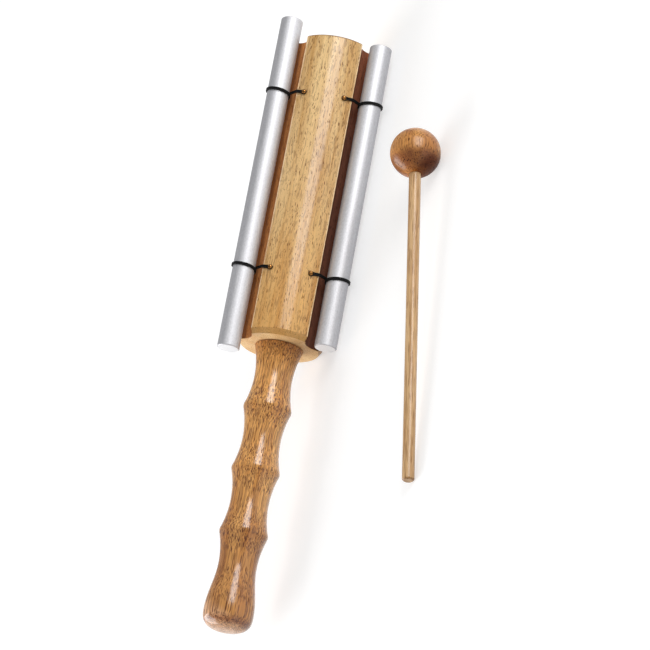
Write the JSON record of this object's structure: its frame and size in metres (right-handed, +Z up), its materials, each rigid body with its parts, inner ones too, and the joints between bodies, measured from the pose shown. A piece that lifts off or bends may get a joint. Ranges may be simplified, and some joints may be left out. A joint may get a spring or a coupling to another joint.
{
  "type": "hand chime",
  "caption": "Fluted wooden chime on a turned handle, with tuned round metal bars slung on elastic cords over its flutes, and a ball mallet beside it.",
  "frame": {"origin": "centre of the body's flat head face, on the body's axis", "axes": "+Y along the body's axis, out of the head face and away from the handle; +Z up from the floor that the chime and its mallet lie on; +X towards the mallet"},
  "size_m": [0.1482, 0.2985, 0.052],
  "materials": {
    "body_wood": "satin, pale and fine-pored",
    "handle_wood": "satin, brown and open-grained",
    "bar_metal": "satin, drawn along its length",
    "elastic_cord": "matt braided elastic",
    "pin_brass": "polished",
    "ball_wood": "satin, orange brown",
    "stick_wood": "satin, pale and straight-grained"
  },
  "bodies": {
    "chime": {"fluted_body": "body_wood", "handle": "handle_wood", "cord_low_head": "elastic_cord", "cord_low_tail": "elastic_cord", "cord_mid_head": "elastic_cord", "cord_mid_tail": "elastic_cord", "cord_high_head": "elastic_cord", "cord_high_tail": "elastic_cord", "brass_pin_low_head_a": "pin_brass", "brass_pin_low_head_b": "pin_brass", "brass_pin_low_tail_a": "pin_brass", "brass_pin_low_tail_b": "pin_brass", "brass_pin_mid_head_a": "pin_brass", "brass_pin_mid_head_b": "pin_brass", "brass_pin_mid_tail_a": "pin_brass", "brass_pin_mid_tail_b": "pin_brass", "brass_pin_high_head_a": "pin_brass", "brass_pin_high_head_b": "pin_brass", "brass_pin_high_tail_a": "pin_brass", "brass_pin_high_tail_b": "pin_brass"},
    "low_note": {"low_bar": "bar_metal"},
    "mid_note": {"mid_bar": "bar_metal"},
    "high_note": {"high_bar": "bar_metal"},
    "mallet": {"mallet_ball": "ball_wood", "mallet_stick": "stick_wood"}
  },
  "joints": [
    {"name": "low_bar_give", "type": "slide", "parent": "chime", "child": "low_note", "axis": [0, 0, 1], "range_m": [-0.003, 0.002], "stiffness_N_per_m": 1200, "deforming": ["cord_low_head", "cord_low_tail"]},
    {"name": "mid_bar_give", "type": "slide", "parent": "chime", "child": "mid_note", "axis": [0.866, 0, -0.5], "range_m": [-0.003, 0.002], "stiffness_N_per_m": 1200, "deforming": ["cord_mid_head", "cord_mid_tail"]},
    {"name": "high_bar_give", "type": "slide", "parent": "chime", "child": "high_note", "axis": [-0.866, 0, -0.5], "range_m": [-0.003, 0.002], "stiffness_N_per_m": 1200, "deforming": ["cord_high_head", "cord_high_tail"]},
    {"name": "mallet_lift", "type": "slide", "parent": "chime", "child": "mallet", "axis": [0, 0, 1], "range_m": [0, 0.12]}
  ]
}
